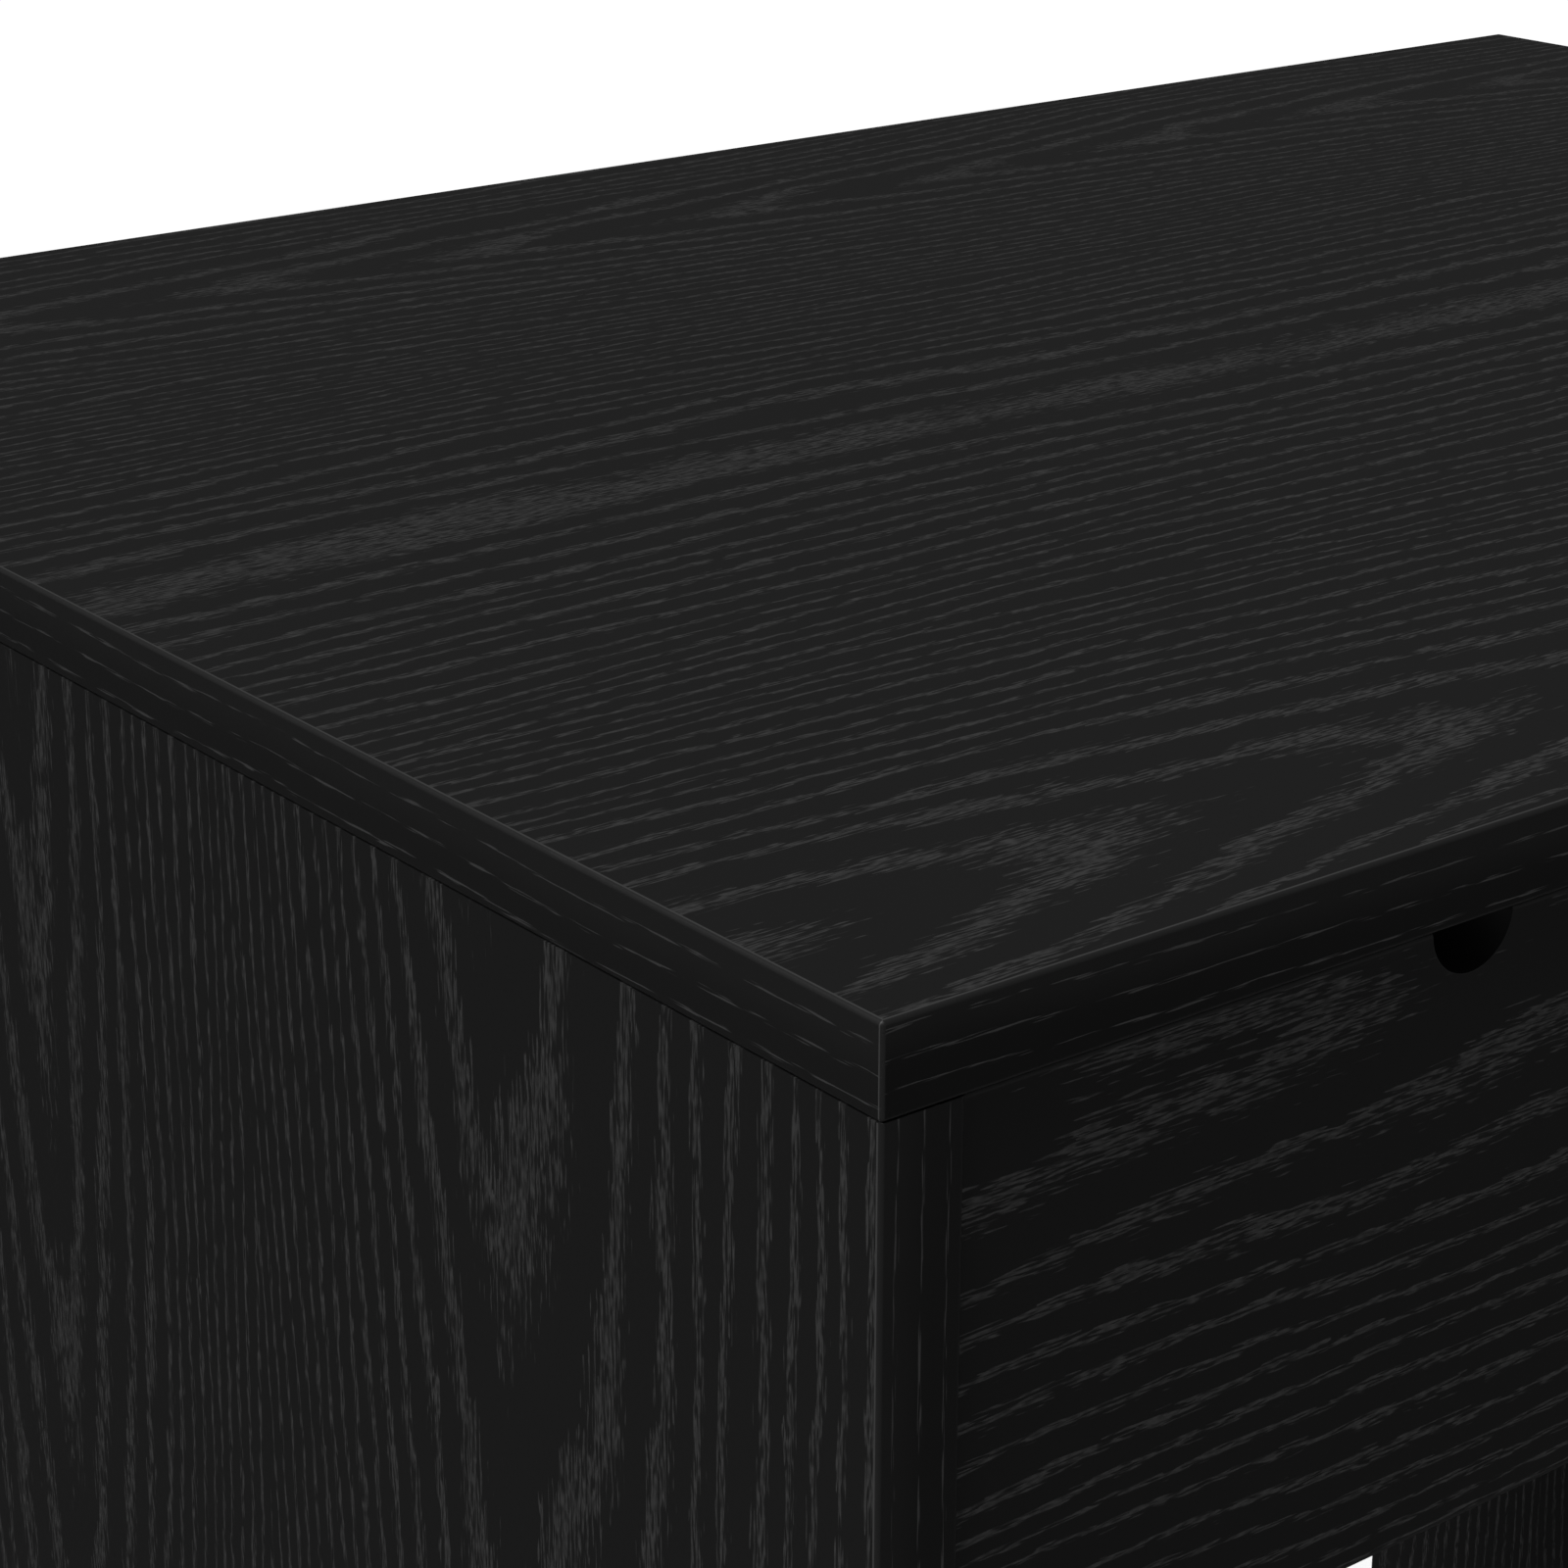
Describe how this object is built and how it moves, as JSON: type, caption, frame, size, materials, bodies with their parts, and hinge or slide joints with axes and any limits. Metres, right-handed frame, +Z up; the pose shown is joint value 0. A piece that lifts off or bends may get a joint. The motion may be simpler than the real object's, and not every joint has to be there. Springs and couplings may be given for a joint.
{
  "type": "dresser with drawers",
  "caption": "Black oak-grain dressing-table dresser: a flat top on two slab legs with shallow inset drawers in a row, pulled by half-round finger notches.",
  "frame": {"origin": "on the floor, under the middle of the top", "axes": "+X to the right as seen from the front, +Y to the back, +Z up; the drawers open towards -Y"},
  "size_m": [0.66, 0.49, 0.75],
  "materials": {
    "oak_laminate": "satin black laminate with a light open oak grain",
    "edge_band": "satin black edge band printed with oak grain",
    "box_board": "matt black melamine",
    "hardboard": "matt black coated hardboard",
    "zinc_alloy": "cast zinc",
    "zinc_plated_screw": "bright zinc plated",
    "black_screw": "black zinc plated",
    "beech": "raw beech",
    "cover_plastic": "black moulded plastic",
    "glide_plastic": "black moulded plastic",
    "slide_steel": "cold rolled, zinc plated",
    "cage_steel": "pressed sheet",
    "ball_steel": "polished"
  },
  "bodies": {
    "carcass": {"back_panel": "oak_laminate", "cam_bolts": "zinc_plated_screw", "cam_covers": "cover_plastic", "cam_discs": "zinc_alloy", "connecting_screws": "black_screw", "deck_panel": "oak_laminate", "dowels": "beech", "foot_glides": "glide_plastic", "inner_edge_bands": "edge_band", "left_outer_slides": "slide_steel", "left_partition": "oak_laminate", "left_side_edge_bands": "edge_band", "left_side_panel": "oak_laminate", "middle_outer_slides": "slide_steel", "outer_slide_screws": "zinc_plated_screw", "right_outer_slides": "slide_steel", "right_partition": "oak_laminate", "right_side_edge_bands": "edge_band", "right_side_panel": "oak_laminate", "top_edge_bands": "edge_band", "top_panel": "oak_laminate"},
    "left_drawer": {"left_drawer_back": "box_board", "left_drawer_back_screws": "zinc_plated_screw", "left_drawer_bottom": "hardboard", "left_drawer_cam_bolts": "zinc_plated_screw", "left_drawer_cam_discs": "zinc_alloy", "left_drawer_edge_bands": "edge_band", "left_drawer_front": "oak_laminate", "left_drawer_left_side": "box_board", "left_drawer_right_side": "box_board", "left_inner_slide_screws": "zinc_plated_screw", "left_inner_slides": "slide_steel"},
    "left_cages": {"left_ball_cages": "cage_steel", "left_slide_balls": "ball_steel"},
    "middle_drawer": {"middle_drawer_back": "box_board", "middle_drawer_back_screws": "zinc_plated_screw", "middle_drawer_bottom": "hardboard", "middle_drawer_cam_bolts": "zinc_plated_screw", "middle_drawer_cam_discs": "zinc_alloy", "middle_drawer_edge_bands": "edge_band", "middle_drawer_front": "oak_laminate", "middle_drawer_left_side": "box_board", "middle_drawer_right_side": "box_board", "middle_inner_slide_screws": "zinc_plated_screw", "middle_inner_slides": "slide_steel"},
    "middle_cages": {"middle_ball_cages": "cage_steel", "middle_slide_balls": "ball_steel"},
    "right_drawer": {"right_drawer_back": "box_board", "right_drawer_back_screws": "zinc_plated_screw", "right_drawer_bottom": "hardboard", "right_drawer_cam_bolts": "zinc_plated_screw", "right_drawer_cam_discs": "zinc_alloy", "right_drawer_edge_bands": "edge_band", "right_drawer_front": "oak_laminate", "right_drawer_left_side": "box_board", "right_drawer_right_side": "box_board", "right_inner_slide_screws": "zinc_plated_screw", "right_inner_slides": "slide_steel"},
    "right_cages": {"right_ball_cages": "cage_steel", "right_slide_balls": "ball_steel"}
  },
  "joints": [
    {"name": "left_drawer_slide", "type": "slide", "parent": "carcass", "child": "left_drawer", "axis": [0, -1, 0], "range_m": [0, 0.3]},
    {"name": "left_cage_slide", "type": "slide", "parent": "carcass", "child": "left_cages", "axis": [0, -1, 0], "range_m": [0, 0.15]},
    {"name": "middle_drawer_slide", "type": "slide", "parent": "carcass", "child": "middle_drawer", "axis": [0, -1, 0], "range_m": [0, 0.3]},
    {"name": "middle_cage_slide", "type": "slide", "parent": "carcass", "child": "middle_cages", "axis": [0, -1, 0], "range_m": [0, 0.15]},
    {"name": "right_drawer_slide", "type": "slide", "parent": "carcass", "child": "right_drawer", "axis": [0, -1, 0], "range_m": [0, 0.3]},
    {"name": "right_cage_slide", "type": "slide", "parent": "carcass", "child": "right_cages", "axis": [0, -1, 0], "range_m": [0, 0.15]}
  ],
  "couplings": [
    {"joint": "left_cage_slide", "follows": "left_drawer_slide", "ratio": 0.5},
    {"joint": "middle_cage_slide", "follows": "middle_drawer_slide", "ratio": 0.5},
    {"joint": "right_cage_slide", "follows": "right_drawer_slide", "ratio": 0.5}
  ]
}
